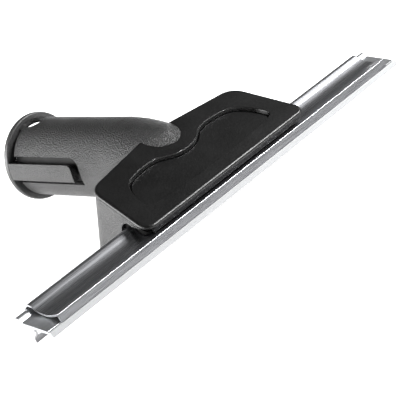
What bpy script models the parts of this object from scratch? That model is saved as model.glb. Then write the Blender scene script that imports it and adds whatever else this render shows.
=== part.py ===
"""Window cleaning squeegee: a moulded head with a pole socket, an aluminium rail and a slide-in blade.

The part stands on the flat underside of its head and on the socket's collar. +X runs along the
blade, +Y points out of the socket's mouth, +Z is up. Three empties carry the three working planes:
the socket axis, the rail (tilted forward) and the cover (tilted further).
"""

import math

import bmesh
import bpy
from mathutils import Matrix, Vector

MM = 0.001
GAP = 0.3                     # clearance left between touching pieces

# Overall layout, millimetres
BLADE_LENGTH = 280.0
RAIL_LENGTH = 263.5
MOUTH_Y = 76.85               # the socket's mouth, ahead of the middle of the part
COLLAR_RADIUS = 24.7          # also the height of the socket axis above the bench
RAIL_TILT = math.radians(9.44)
COVER_TILT = math.radians(21.64)
RAIL_ORIGIN = (-148.03, -10.82)      # (y, z) from the centre of the mouth
COVER_ORIGIN = (-149.27, -3.38)

# Socket tube
TUBE_RADIUS = 21.87
TUBE_BORE = 19.9
TUBE_START = -6.0
TUBE_FLOOR = -82.0
BULKHEAD = 2.5
COLLAR_WIDTH = 3.4
COLLAR_ROUND = 0.9
BRIDGE_HALF_ANGLE = math.radians(20)
BUTTON_HOLE_RADIUS = 6.0
BUTTON_HOLE_Y = -9.4

# Locking sleeve and its two tongues
SLEEVE_OUTER = 19.6
SLEEVE_BORE = 17.65
SLEEVE_END = -74.0
TONGUE_BED = 18.9             # the sleeve is thinned to this radius behind the tongues
MOUTH_FLARE = 20.4
TONGUE_INNER = 20.9
TONGUE_END = -55.5
TONGUE_CENTRE = math.radians(5.5)
TONGUE_HALF_ANGLE = math.radians(11.5)
SLOT_END = -58.8
SLOT_HALF_ANGLE = math.radians(20.8)

# Head
WALL = 2.2
COVER_SKIN = 2.0
RECESS_DEPTH = 3.2
PAN_DEPTH = 4.9
GROOVE = 0.8
INLAY_SINK = 2.0
CUTOUT_MARGIN = 2.3
CUTOUT_FRONT = 6.0            # cover coordinates, where the side wall runs out under the cover
JAW_FRONT = 10.8              # rail coordinates, behind the rear lip
JAW_TOP = -3.65               # rail coordinates, under the hook
POCKET_BACK = -117.5          # front face of the wall behind the clamp
BENCH_FRONT = -122.0          # where the flat underside turns up towards the rail
CLAMP_X = (-46.0, -18.0, 18.0, 46.0)
CLAMP_Y = -122.9
CLAMP_SEAT = -13.3            # underside of the clamp screws' heads
COVER_SCREW = (40.0, 38.9)

# Rail and blade sections, rail coordinates (y, z)
RAIL_WALL = 1.0
RAIL_FOOT = (-4.45, 0.35)
RAIL_RIDGE = (-2.45, 4.0)
RAIL_SLOPE = [(-2.45, 4.0), (0.6, 2.8), (4.0, 1.65), (7.5, 1.4), (10.2, 1.7), (12.6, 2.45),
              (14.6, 3.4), (16.4, 3.95), (18.4, 3.35), (19.9, 1.9), (20.6, 0.1), (20.3, -1.6),
              (19.2, -2.85), (17.5, -3.35)]
PLATE_FRONT = -2.95
PLATE_THICKNESS = 1.4
BEAD = (16.9, -0.2)
BEAD_RADII = (2.35, 1.85)
LIP_ROOT = (-4.1, -0.8)
LIP_ROOT_RADIUS = 0.8
LIP_TIP = (-5.95, -2.45)
FIN_ROOT = (5.4, -2.3)
FIN_LINE = [(5.4, -2.3), (5.5, -3.5), (6.6, -4.9), (7.5, -6.3), (7.4, -7.6), (6.8, -8.8)]

# Cover plan, cover coordinates (x, s): corners as (x, s, radius), then half of the recess
COVER_CORNERS = [(65.4, 0.6, 6.0), (57.0, 44.8, 11.0), (0.0, 53.0, 0.0)]
RECESS_HALF = [(0.0, 9.4), (16.0, 9.6), (32.0, 10.4), (44.0, 11.4), (48.8, 13.2), (49.4, 16.2),
               (48.0, 21.5), (45.8, 26.5), (42.8, 30.8), (38.5, 33.6), (32.0, 35.1), (24.0, 35.6),
               (17.5, 34.8), (12.5, 32.3), (8.0, 29.8), (4.0, 28.7), (0.0, 28.4)]

# The closed end of the tube, which runs out over the cover as a nose: (y, half width, height)
NOSE = [(-78.0, 21.87, 21.87), (-84.5, 21.8, 21.3), (-88.0, 21.7, 20.9), (-94.0, 21.3, 19.8),
        (-100.0, 20.3, 18.7), (-104.0, 18.8, 18.2), (-107.0, 16.8, 17.6), (-110.0, 14.4, 16.6),
        (-112.4, 12.0, 14.9), (-114.0, 9.4, 13.1), (-115.0, 6.6, 11.5), (-115.5, 3.6, 10.4)]

for old in list(bpy.data.objects):
    bpy.data.objects.remove(old, do_unlink=True)

PARTS = bpy.data.collections.new("window_squeegee")
CUTTERS = bpy.data.collections.new("cutters")
bpy.context.scene.collection.children.link(PARTS)
bpy.context.scene.collection.children.link(CUTTERS)


def from_rail(y, z):
    """A point of the rail's section in socket coordinates."""
    cos, sin = math.cos(RAIL_TILT), math.sin(RAIL_TILT)
    return RAIL_ORIGIN[0] + y * cos - z * sin, RAIL_ORIGIN[1] + y * sin + z * cos


def from_cover(s, n):
    """A point s along the cover and n above its plane, in socket coordinates."""
    cos, sin = math.cos(COVER_TILT), math.sin(COVER_TILT)
    return COVER_ORIGIN[0] + s * cos - n * sin, COVER_ORIGIN[1] + s * sin + n * cos


def empty(name, y, z, tilt):
    frame = bpy.data.objects.new(name, None)
    frame.empty_display_size = 0.02
    frame.location = (0.0, (MOUTH_Y + y) * MM, (COLLAR_RADIUS + z) * MM)
    frame.rotation_euler = (tilt, 0.0, 0.0)
    PARTS.objects.link(frame)
    return frame


SOCKET = empty("socket_frame", 0.0, 0.0, 0.0)
RAIL = empty("rail_frame", *RAIL_ORIGIN, RAIL_TILT)
COVER = empty("cover_frame", *COVER_ORIGIN, COVER_TILT)
LIP = empty("wiping_lip_axis", *from_rail(*LIP_ROOT), RAIL_TILT)
FIN = empty("rear_lip_axis", *from_rail(*FIN_ROOT), RAIL_TILT)


def material(name, colour, roughness, metallic=0.0):
    mat = bpy.data.materials.new(name)
    mat.use_nodes = True
    shader = mat.node_tree.nodes["Principled BSDF"]
    shader.inputs["Base Color"].default_value = (*colour, 1.0)
    shader.inputs["Roughness"].default_value = roughness
    shader.inputs["Metallic"].default_value = metallic
    return mat


def place(obj, frame, mat=None):
    """Link a finished part, or a cutter when it has no material, in its working frame."""
    obj.parent = frame
    if mat is None:
        CUTTERS.objects.link(obj)
        obj.hide_render = True
        obj.display_type = "WIRE"
    else:
        PARTS.objects.link(obj)
        obj.data.materials.append(mat)
    return obj


def boolean(obj, other, operation):
    modifier = obj.modifiers.new(operation.lower() + "_" + other.name, "BOOLEAN")
    modifier.operation = operation
    modifier.object = other
    return obj


def cut(obj, other):
    return boolean(obj, other, "DIFFERENCE")


def join(obj, other):
    return boolean(obj, other, "UNION")


def keep(obj, other):
    return boolean(obj, other, "INTERSECT")


# Outlines -------------------------------------------------------------------------------------

def arc(centre, radii, start, end, steps):
    return [(centre[0] + radii[0] * math.cos(start + (end - start) * i / steps),
             centre[1] + radii[1] * math.sin(start + (end - start) * i / steps))
            for i in range(steps + 1)]


def spline(points, steps, closed=False):
    """Catmull-Rom curve through the points."""
    count = len(points)
    spans = count if closed else count - 1
    result = []
    for i in range(spans):
        if closed:
            p = [Vector(points[(i + k - 1) % count]) for k in range(4)]
        else:
            p = [Vector(points[min(max(i + k - 1, 0), count - 1)]) for k in range(4)]
        for j in range(steps):
            t = j / steps
            result.append(0.5 * (2 * p[1] + (p[2] - p[0]) * t
                                 + (2 * p[0] - 5 * p[1] + 4 * p[2] - p[3]) * t ** 2
                                 + (3 * p[1] - p[0] - 3 * p[2] + p[3]) * t ** 3))
    if not closed:
        result.append(Vector(points[-1]))
    return [tuple(q) for q in result]


def offset(points, distance, closed=False):
    """Move a line to its left by the distance."""
    count = len(points)
    result = []
    for i, point in enumerate(points):
        before = points[(i - 1) % count] if closed or i > 0 else point
        after = points[(i + 1) % count] if closed or i < count - 1 else point
        way = (Vector(after) - Vector(before)).normalized()
        result.append((point[0] - way.y * distance, point[1] + way.x * distance))
    return result


def fillet(corner, before, after, radius, steps=5):
    """Points of the arc that rounds a corner."""
    a = (Vector(before) - Vector(corner)).normalized()
    b = (Vector(after) - Vector(corner)).normalized()
    half = a.angle(b) / 2
    reach = radius / math.tan(half)
    centre = Vector(corner) + (a + b).normalized() * radius / math.sin(half)
    start = Vector(corner) + a * reach - centre
    end = Vector(corner) + b * reach - centre
    sweep = start.angle_signed(end)
    return [tuple(centre + Matrix.Rotation(-sweep * i / steps, 2) @ start) for i in range(steps + 1)]


def mirrored(half):
    """Close a half outline that starts and ends on the middle plane."""
    return half + [(-x, y) for x, y in reversed(half) if x > 1e-6]


def crossing(a, b, c, d):
    """Where the line through a and b meets the line through c and d."""
    r, q = Vector(b) - Vector(a), Vector(d) - Vector(c)
    t = (Vector(c) - Vector(a)).cross(q) / r.cross(q)
    return tuple(Vector(a) + r * t)


def cover_outline(inset):
    """The head's plan, drawn in by the inset with its corner radii shrunk to match."""
    corners = COVER_CORNERS + [(-x, s, r) for x, s, r in COVER_CORNERS[-2::-1]]
    count = len(corners)
    sides = [offset([corners[i][:2], corners[(i + 1) % count][:2]], inset) for i in range(count)]
    points = [crossing(*sides[i - 1], *sides[i]) for i in range(count)]
    outline = []
    for i, point in enumerate(points):
        radius = corners[i][2]
        if radius == 0.0:
            outline.append(point)
        else:
            after = points[(i + 1) % count]
            outline += fillet(point, points[i - 1], after, max(radius - inset, 0.6))
    return outline


def recess_outline(grow):
    half = spline(RECESS_HALF, 2)
    return offset(mirrored(half), -grow, closed=True)


# Solids ---------------------------------------------------------------------------------------

def prism(name, outline, low, high, to_frame):
    """Extrude a flat outline; to_frame turns the drawing plane into the working frame."""
    curve = bpy.data.curves.new(name, "CURVE")
    curve.dimensions = "2D"
    curve.fill_mode = "BOTH"
    curve.extrude = (high - low) / 2 * MM
    line = curve.splines.new("POLY")
    line.points.add(len(outline) - 1)
    for point, (u, v) in zip(line.points, outline):
        point.co = (u * MM, v * MM, 0.0, 1.0)
    line.use_cyclic_u = True
    drawing = bpy.data.objects.new(name + "_outline", curve)
    bpy.context.scene.collection.objects.link(drawing)
    bpy.context.view_layer.update()
    mesh = bpy.data.meshes.new_from_object(drawing.evaluated_get(bpy.context.evaluated_depsgraph_get()))
    bpy.data.objects.remove(drawing, do_unlink=True)
    mesh.transform(to_frame @ Matrix.Translation((0.0, 0.0, (low + high) / 2 * MM)))
    tidy = bmesh.new()
    tidy.from_mesh(mesh)
    bmesh.ops.remove_doubles(tidy, verts=tidy.verts, dist=0.000001)
    bmesh.ops.recalc_face_normals(tidy, faces=tidy.faces)
    tidy.to_mesh(mesh)
    tidy.free()
    mesh.name = name
    return bpy.data.objects.new(name, mesh)


SECTION = Matrix(((0, 0, 1, 0), (1, 0, 0, 0), (0, 1, 0, 0), (0, 0, 0, 1)))
PLAN = Matrix.Identity(4)


def along_x(name, outline, half_length):
    """A (y, z) section extruded along X, both ways from the middle."""
    return prism(name, outline, -half_length, half_length, SECTION)


def upright(name, outline, low, high):
    """An (x, y) outline extruded along Z."""
    return prism(name, outline, low, high, PLAN)


def cylinder(name, radius, low, high, centre=(0.0, 0.0), along="Z", segments=32):
    mesh = bpy.data.meshes.new(name)
    solid = bmesh.new()
    turn = Matrix.Rotation(-math.pi / 2, 4, "X") if along == "Y" else Matrix.Identity(4)
    middle = Matrix.Translation((0.0, 0.0, (low + high) / 2 * MM))
    bmesh.ops.create_cone(solid, cap_ends=True, segments=segments, radius1=radius * MM,
                          radius2=radius * MM, depth=(high - low) * MM, matrix=turn @ middle)
    solid.to_mesh(mesh)
    solid.free()
    obj = bpy.data.objects.new(name, mesh)
    obj.location = (centre[0] * MM, centre[1] * MM, 0.0)
    return obj


def turned(name, profile, steps=32, along="Z"):
    """Turn a (radius, height) profile; a closed profile makes a ring."""
    mesh = bpy.data.meshes.new(name)
    line = bmesh.new()
    verts = [line.verts.new((r * MM, 0.0, h * MM)) for r, h in profile]
    for a, b in zip(verts, verts[1:]):
        line.edges.new((a, b))
    if profile[0][0] > 0 and profile[-1][0] > 0:
        line.edges.new((verts[-1], verts[0]))
    line.to_mesh(mesh)
    line.free()
    obj = bpy.data.objects.new(name, mesh)
    screw = obj.modifiers.new("turn", "SCREW")
    screw.axis = "Z"
    screw.steps = steps
    screw.render_steps = steps
    screw.use_merge_vertices = True
    screw.merge_threshold = 0.00001
    if along == "Y":
        obj.rotation_euler = (-math.pi / 2, 0.0, 0.0)
    return obj


def smooth(obj):
    obj.data.shade_smooth()
    obj.data.set_sharp_from_angle(angle=math.radians(35))
    return obj


def bullet(name, grow, stations):
    """Rings along the socket axis, each a (y, half width, height)."""
    segments = 48
    mesh = bpy.data.meshes.new(name)
    shell = bmesh.new()
    rings = []
    for y, half_width, height in stations:
        ring = []
        for i in range(segments):
            turn = 2 * math.pi * i / segments
            ring.append(shell.verts.new(((half_width + grow) * math.cos(turn) * MM, y * MM,
                                         (height + grow) * math.sin(turn) * MM)))
        rings.append(ring)
    for a, b in zip(rings, rings[1:]):
        for i in range(segments):
            k = (i + 1) % segments
            shell.faces.new((a[i], a[k], b[k], b[i]))
    shell.faces.new(rings[0])
    shell.faces.new(rings[-1])
    bmesh.ops.recalc_face_normals(shell, faces=shell.faces)
    shell.to_mesh(mesh)
    shell.free()
    return bpy.data.objects.new(name, mesh)


def tube_sector(name, inner, outer, low, high, middle, half_angle):
    """A wedge of tube wall around the socket axis."""
    steps = 10
    start, end = middle - half_angle, middle + half_angle
    outline = arc((0, 0), (outer, outer), start, end, steps)
    outline += arc((0, 0), (inner, inner), end, start, steps)
    turn = Matrix(((1, 0, 0, 0), (0, 0, 1, 0), (0, 1, 0, 0), (0, 0, 0, 1)))
    return prism(name, outline, low, high, turn)


# Materials ------------------------------------------------------------------------------------

GRAINED = ("housing_grain", (0.03, 0.03, 0.032), 0.6)
SATIN = ("cover_satin", (0.012, 0.012, 0.012), 0.4)
PLAIN = ("inner_plastic", (0.02, 0.02, 0.02), 0.5)
ALUMINIUM = ("rail_aluminium", (0.35, 0.36, 0.38), 0.3, 1.0)
RUBBER = ("lip_rubber", (0.6, 0.61, 0.62), 0.5)
STEEL = ("screw_steel", (0.55, 0.55, 0.56), 0.3, 1.0)
BRASS = ("insert_brass", (0.75, 0.55, 0.25), 0.3, 1.0)


# Rail and blade -------------------------------------------------------------------------------

def rail_outer():
    """The rail's outer face from its foot over the ridge and the hump to the hook's end."""
    return [RAIL_FOOT] + spline(RAIL_SLOPE, 3)


def upper_rail():
    outer = rail_outer()
    inner = offset(outer, -RAIL_WALL)
    inner[0] = (RAIL_FOOT[0] + 1.15 * RAIL_WALL, RAIL_FOOT[1])
    inner[1] = (RAIL_RIDGE[0] + 0.35, RAIL_RIDGE[1] - 1.5)
    rail = along_x("upper_rail", outer + inner[::-1], RAIL_LENGTH / 2)
    return place(rail, RAIL, material(*ALUMINIUM))


def blade_carrier():
    """Flat plate with the slide bead at its back and the rear lip's groove underneath."""
    root_y, root_z = FIN_ROOT
    low = -PLATE_THICKNESS
    rib_low = root_z - 0.75
    seat = LIP_ROOT_RADIUS + 0.25
    bead = arc(BEAD, BEAD_RADII, math.radians(-140), math.radians(155), 14)
    groove = arc(FIN_ROOT, (seat, seat), math.radians(-40), math.radians(220), 10)
    outline = [(PLATE_FRONT, 0.0), (PLATE_FRONT, low)]
    outline += [(root_y - seat - 1.0, low), (root_y - seat - 0.8, rib_low)]
    outline += groove[::-1]
    outline += [(root_y + seat + 0.8, rib_low), (root_y + seat + 1.0, low)]
    outline += [(14.3, low)] + bead + [(14.2, 0.0)]
    carrier = along_x("blade_carrier", outline, BLADE_LENGTH / 2)
    return place(carrier, RAIL, material("carrier_aluminium", (0.45, 0.46, 0.48), 0.35, 1.0))


def wiping_lip():
    """Soft front lip, drawn around its root so that it turns there."""
    tip = Vector(LIP_TIP) - Vector(LIP_ROOT)
    side = Vector((-tip.y, tip.x)).normalized()
    heading = math.atan2(side.y, side.x)
    round_root = arc((0, 0), (LIP_ROOT_RADIUS, LIP_ROOT_RADIUS), heading, heading + math.pi, 8)
    outline = [tuple(tip + side * 0.25)] + round_root + [tuple(tip - side * 0.25)]
    lip = along_x("wiping_lip", outline, BLADE_LENGTH / 2)
    return place(lip, LIP, material(*RUBBER))


def rear_lip():
    """Curved lip under the plate, held by its round root."""
    line = [(y - FIN_ROOT[0], z - FIN_ROOT[1]) for y, z in spline(FIN_LINE, 3)]
    neck = line[2:]
    widths = [0.44 - 0.16 * i / (len(neck) - 1) for i in range(len(neck))]
    left = [offset(neck, w)[i] for i, w in enumerate(widths)]
    right = [offset(neck, -w)[i] for i, w in enumerate(widths)]
    bulb = arc((0, 0), (0.72, 0.72), math.radians(-45), math.radians(225), 10)
    lip = along_x("rear_lip", bulb + right + left[::-1], BLADE_LENGTH / 2)
    return place(lip, FIN, material("rear_lip_rubber", (0.5, 0.5, 0.51), 0.55))


# Socket ---------------------------------------------------------------------------------------

def slot_window(side, inner, outer, name, high=1.0):
    """The notch around one tongue; side is +1 for the right tongue, -1 for the left."""
    middle = TONGUE_CENTRE if side > 0 else math.pi - TONGUE_CENTRE
    window = tube_sector(name, inner, outer, SLOT_END, high, middle, SLOT_HALF_ANGLE)
    return place(window, SOCKET)


def locking_sleeve():
    """Collar and inner sleeve, thinned behind both tongues and open under the button hole."""
    edge, corner = COLLAR_RADIUS - COLLAR_ROUND, (COLLAR_ROUND, COLLAR_ROUND)
    profile = [(MOUTH_FLARE, 0.0)]
    profile += arc((edge, -COLLAR_ROUND), corner, math.pi / 2, 0.0, 4)
    profile += arc((edge, COLLAR_ROUND - COLLAR_WIDTH), corner, 0.0, -math.pi / 2, 4)
    profile += [(SLEEVE_OUTER, -COLLAR_WIDTH), (SLEEVE_OUTER, SLEEVE_END + 2.0),
                (SLEEVE_OUTER - 0.8, SLEEVE_END), (SLEEVE_BORE, SLEEVE_END), (SLEEVE_BORE, -7.0)]
    sleeve = turned("locking_sleeve", profile, 48, along="Y")
    for side in (-1, 1):
        bed = slot_window(side, TONGUE_BED, 22.0, "tongue_bed_%d" % side, -COLLAR_WIDTH - 0.6)
        cut(sleeve, bed)
    top = tube_sector("sleeve_top_window", 15.0, 22.0, -24.0, -COLLAR_WIDTH - 0.6,
                      math.pi / 2, math.radians(40))
    cut(sleeve, place(top, SOCKET))
    return place(smooth(sleeve), SOCKET, material("sleeve_plastic", (0.05, 0.05, 0.052), 0.5))


def latch_tongue(name, side):
    """Spring tongue beside the socket; it bends at the collar."""
    middle = TONGUE_CENTRE if side > 0 else math.pi - TONGUE_CENTRE
    root = -COLLAR_WIDTH - GAP
    tongue = tube_sector(name, TONGUE_INNER, COLLAR_RADIUS, TONGUE_END, root, middle,
                         TONGUE_HALF_ANGLE)
    hinge = Vector((side * (TONGUE_INNER + 1.0) * MM, root * MM, 0.0))
    tongue.data.transform(Matrix.Translation(-hinge))
    tongue.location = hinge
    return place(smooth(tongue), SOCKET, material(name + "_plastic", (0.06, 0.06, 0.062), 0.5))


# Head -----------------------------------------------------------------------------------------

def plan_block(name, inset):
    """The head's plan as a tall block, to keep a piece inside its outline."""
    return place(upright(name, cover_outline(inset), -70.0, 10.0), COVER)


def socket_section(points):
    """Rail-frame points as socket coordinates."""
    return [from_rail(y, z) for y, z in points]


def rail_level(y, rail_z):
    """Height of a plane parallel to the rail, at a place along the socket axis."""
    rise = (y - RAIL_ORIGIN[0]) * math.tan(RAIL_TILT)
    return RAIL_ORIGIN[1] + rise + rail_z / math.cos(RAIL_TILT)


def cover_level(y, n):
    """Height of a plane parallel to the cover, at a place along the socket axis."""
    rise = (y - COVER_ORIGIN[0]) * math.tan(COVER_TILT)
    return COVER_ORIGIN[1] + rise + n / math.cos(COVER_TILT)


def rail_relief(margin, first=2, last=-1):
    """The rail's outer face, moved out by a margin, in rail coordinates."""
    return offset(rail_outer(), margin)[first:last]


def head_housing():
    """One moulding: side and back walls, floor, screw columns, socket tube and nose."""
    plan = plan_block("housing_plan", 0.3)
    top = -COVER_SKIN - GAP
    relief = socket_section(rail_relief(CUTOUT_MARGIN, 20, -2))
    section = [from_cover(CUTOUT_FRONT, top), *relief, from_rail(19.0, -5.7), from_rail(JAW_FRONT, -5.7),
               from_rail(JAW_FRONT, -8.5), (BENCH_FRONT, -COLLAR_RADIUS),
               (-60.0, -COLLAR_RADIUS), from_cover(60.0, top)]
    housing = along_x("head_housing", section, 70.0)
    keep(housing, plan)

    front_space = along_x("front_space", [(-180.0, 20.0), (-180.0, -40.0), (POCKET_BACK, -40.0),
                                          (POCKET_BACK, 20.0)], 70.0)
    keep(front_space, plan_block("front_space_plan", 0.3 + WALL))
    cut(housing, place(front_space, SOCKET))
    front_mouth = upright("front_mouth", [(-61.9, -5.0), (61.9, -5.0), (61.2, 4.0), (-61.2, 4.0)],
                          -40.0, 5.0)
    cut(housing, place(front_mouth, COVER))

    back_start = POCKET_BACK + WALL
    floor = -COLLAR_RADIUS + WALL
    back_space = along_x("back_space", [(back_start, floor), (-60.0, floor), (-60.0, 40.0),
                                        (back_start, 40.0)], 70.0)
    keep(back_space, plan_block("back_space_plan", 0.3 + WALL))
    cut(housing, place(back_space, SOCKET))

    under_pan = upright("under_pan", recess_outline(1.6 + GAP), -PAN_DEPTH - GAP, 5.0)
    cut(housing, place(under_pan, COVER))
    add_screw_columns(housing)
    add_tube(housing)
    return place(smooth(housing), SOCKET, material(*GRAINED))


def add_screw_columns(housing):
    x, s = COVER_SCREW
    for side in (-1, 1):
        column = cylinder("screw_column_%d" % side, 4.0, -36.0, -10.0, (side * x, s), segments=20)
        join(housing, place(column, COVER))
        access = cylinder("screw_access_%d" % side, 3.1, -60.0, -12.3, (side * x, s), segments=20)
        cut(housing, place(access, COVER))
        clearance = cylinder("screw_way_%d" % side, 1.6, -20.0, -5.0, (side * x, s), segments=16)
        cut(housing, place(clearance, COVER))


def add_tube(housing):
    """Join the tube and nose on, then bore and slot them."""
    outer = bullet("tube_outer", 0.0, [(TUBE_START, TUBE_RADIUS, TUBE_RADIUS)] + NOSE)
    under = along_x("nose_underside", [(-60.0, -30.0), from_cover(80.0, -6.5),
                                       from_cover(20.0, -6.5), (-140.0, -30.0)], 40.0)
    keep(under, plan_block("underside_plan", 0.3 + WALL / 2))
    cut(outer, place(under, SOCKET))
    join(housing, place(outer, SOCKET))
    hollow_nose = [station for station in NOSE if station[0] <= TUBE_FLOOR - BULKHEAD]
    hollow = bullet("nose_hollow", -WALL, hollow_nose[:-3])
    cut(housing, place(hollow, SOCKET))
    bridge = tube_sector("bridge", TUBE_BORE, TUBE_RADIUS, TUBE_START - 2.0, -COLLAR_WIDTH - GAP,
                         math.pi / 2, BRIDGE_HALF_ANGLE)
    join(housing, place(bridge, SOCKET))
    bore = cylinder("tube_bore", TUBE_BORE, TUBE_FLOOR, 5.0, along="Y", segments=48)
    cut(housing, place(bore, SOCKET))
    for side in (-1, 1):
        cut(housing, slot_window(side, 15.0, 26.0, "tube_slot_%d" % side))
    button = cylinder("button_hole", BUTTON_HOLE_RADIUS, 10.0, 30.0, (0.0, BUTTON_HOLE_Y))
    cut(housing, place(button, SOCKET))


def top_cover():
    """Cover plate with its recessed pan, front skirt and screw bosses."""
    cover = upright("top_cover", cover_outline(0.0), -COVER_SKIN, 0.0)
    pan = upright("pan", recess_outline(1.6), -PAN_DEPTH, -COVER_SKIN + 0.5)
    join(cover, place(pan, COVER))
    skirt = upright("front_skirt", [(-59.8, 0.9), (59.8, 0.9), (59.2, 2.8), (-59.2, 2.8)],
                    -4.6, -1.0)
    join(cover, place(skirt, COVER))
    x, s = COVER_SCREW
    for side in (-1, 1):
        boss = cylinder("cover_boss_%d" % side, 3.2, -9.6, -1.0, (side * x, s), segments=20)
        join(cover, place(boss, COVER))
        pilot = cylinder("cover_pilot_%d" % side, 1.6, -12.0, -3.4, (side * x, s), segments=16)
        cut(cover, place(pilot, COVER))
    recess = upright("recess", recess_outline(0.0), -RECESS_DEPTH, 5.0)
    cut(cover, place(recess, COVER))
    tip_y, tip_width, tip_height = NOSE[-1]
    rings = [(-60.0, TUBE_RADIUS, TUBE_RADIUS), *NOSE[:-1], (tip_y - 0.5, tip_width, tip_height)]
    notch = bullet("cover_notch", 0.45, rings)
    cut(cover, place(notch, SOCKET))
    return place(smooth(cover), COVER, material(*SATIN))


def cover_inlay():
    inlay = upright("cover_inlay", recess_outline(-GROOVE), -RECESS_DEPTH + GAP, -INLAY_SINK)
    return place(inlay, COVER, material("inlay_satin", (0.014, 0.014, 0.014), 0.45))


def rail_saddle():
    """Insert between the cover and the rail; its underside fits the rail's face."""
    under = socket_section(rail_relief(GAP + 0.05, 6, -6))
    back = POCKET_BACK - GAP
    low = rail_level(back, -3.2)
    top_n = -PAN_DEPTH - GAP
    section = under + [(under[-1][0], rail_level(under[-1][0], -3.2)), (back, low),
                       (back, cover_level(back, top_n)), from_cover(3.2, top_n)]
    saddle = along_x("rail_saddle", section, 70.0)
    keep(saddle, plan_block("saddle_plan", 0.3 + WALL + GAP))
    for x in CLAMP_X:
        seat = cylinder("insert_seat_%d" % x, 3.25, -14.0, -4.3, (x, CLAMP_Y), segments=20)
        cut(saddle, place(seat, SOCKET))
    return place(saddle, SOCKET, material("saddle_plastic", (0.01, 0.01, 0.01), 0.5))


def clamp_jaw():
    """Lower jaw that holds the rail's hook up against the saddle."""
    back = POCKET_BACK - GAP
    section = [from_rail(JAW_FRONT, JAW_TOP), from_rail(JAW_FRONT, -8.5),
               (BENCH_FRONT, -COLLAR_RADIUS), (back, -COLLAR_RADIUS),
               (back, rail_level(back, JAW_TOP))]
    jaw = along_x("clamp_jaw", section, 70.0)
    keep(jaw, plan_block("jaw_plan", 0.3 + WALL + GAP))
    for x in CLAMP_X:
        way = cylinder("jaw_way_%d" % x, 2.25, -20.0, 0.0, (x, CLAMP_Y), segments=16)
        cut(jaw, place(way, SOCKET))
        access = cylinder("jaw_access_%d" % x, 4.1, -30.0, CLAMP_SEAT + GAP, (x, CLAMP_Y),
                          segments=20)
        cut(jaw, place(access, SOCKET))
    return place(jaw, SOCKET, material("jaw_plastic", (0.025, 0.025, 0.027), 0.6))


def screw(name, frame, centre, head, shank, mat):
    """A turned screw: head (radius, low, high) and shank (radius, top)."""
    radius, low, high = head
    thin, top = shank
    profile = [(0.0, top), (thin * 0.7, top), (thin, top - 0.6), (thin, high), (radius, high),
               (radius, low + 0.5), (radius - 0.5, low), (0.0, low)]
    body = turned(name, profile, 20)
    body.location = (centre[0] * MM, centre[1] * MM, 0.0)
    socket = cylinder(name + "_socket", radius * 0.42, low - 1.0, low + 1.5, centre, segments=6)
    cut(body, place(socket, frame))
    return place(smooth(body), frame, mat)


def clamp_fasteners():
    for number, x in enumerate(CLAMP_X, 1):
        head = (3.7, CLAMP_SEAT - 2.6, CLAMP_SEAT)
        screw("clamp_screw_%d" % number, SOCKET, (x, CLAMP_Y), head, (1.9, -5.0),
              material("clamp_screw_%d_steel" % number, *STEEL[1:]))
        ring = [(2.25, -4.7), (2.9, -4.7), (2.9, -9.1), (2.25, -9.1)]
        insert = turned("thread_insert_%d" % number, ring, 20)
        insert.location = (x * MM, CLAMP_Y * MM, 0.0)
        place(insert, SOCKET, material("thread_insert_%d_brass" % number, *BRASS[1:]))


def cover_fasteners():
    x, s = COVER_SCREW
    for number, side in enumerate((-1, 1), 1):
        screw("cover_screw_%d" % number, COVER, (side * x, s), (2.7, -14.9, -12.6), (1.3, -3.9),
              material("cover_screw_%d_steel" % number, *STEEL[1:]))


upper_rail()
blade_carrier()
wiping_lip()
rear_lip()
locking_sleeve()
latch_tongue("latch_tongue_left", -1)
latch_tongue("latch_tongue_right", 1)
head_housing()
top_cover()
cover_inlay()
rail_saddle()
clamp_jaw()
clamp_fasteners()
cover_fasteners()
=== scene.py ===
# %% [markdown]
# # A window cleaning squeegee
# The tool is a moulded black head. A round socket at its back takes a pole, and a sloping cover
# closes its front. An aluminium rail runs through the head and holds a slide-in wiping blade. The
# CAD model comes first, because it fixes every size and place. Everything after that is drawn
# around it.

# %% Load the fixed frame
import math

import bmesh
import bpy
from mathutils import Euler, Matrix, Vector


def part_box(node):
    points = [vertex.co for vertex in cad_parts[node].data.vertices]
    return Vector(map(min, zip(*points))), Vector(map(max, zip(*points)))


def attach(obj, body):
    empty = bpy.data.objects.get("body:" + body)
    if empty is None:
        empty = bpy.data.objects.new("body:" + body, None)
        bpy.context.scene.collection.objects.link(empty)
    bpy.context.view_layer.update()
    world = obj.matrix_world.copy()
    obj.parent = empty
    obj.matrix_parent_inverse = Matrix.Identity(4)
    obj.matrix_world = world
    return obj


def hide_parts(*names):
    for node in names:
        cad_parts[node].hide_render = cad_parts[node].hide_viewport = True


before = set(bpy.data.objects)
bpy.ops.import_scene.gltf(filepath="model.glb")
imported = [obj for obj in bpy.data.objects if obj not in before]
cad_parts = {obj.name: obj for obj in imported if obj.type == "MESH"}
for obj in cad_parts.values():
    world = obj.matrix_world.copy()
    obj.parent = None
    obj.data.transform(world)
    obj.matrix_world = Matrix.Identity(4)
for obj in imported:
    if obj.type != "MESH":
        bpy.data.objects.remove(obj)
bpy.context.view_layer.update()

MM = 0.001

# %% [markdown]
# ## Three working planes
# Nothing on this tool is square to anything else: the socket is level, the rail tips forward and
# the cover slopes more steeply. Drawing each piece in its own plane keeps the numbers simple. The
# socket's height and mouth are read off the CAD collar, and the two slopes are the design's own
# angles.

# %% Socket, rail and cover planes
mouth_low, mouth_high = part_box("locking_sleeve")
SOCKET = Matrix.Translation((0.0, mouth_high[1], (mouth_low[2] + mouth_high[2]) / 2))
RAIL_TILT, COVER_TILT = math.radians(9.44), math.radians(21.64)
RAIL_ORIGIN, COVER_ORIGIN = (-148.03, -10.82), (-149.27, -3.38)


def tilted(origin, angle):
    place = Matrix.Translation((0.0, origin[0] * MM, origin[1] * MM))
    return SOCKET @ place @ Matrix.Rotation(angle, 4, "X")


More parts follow.
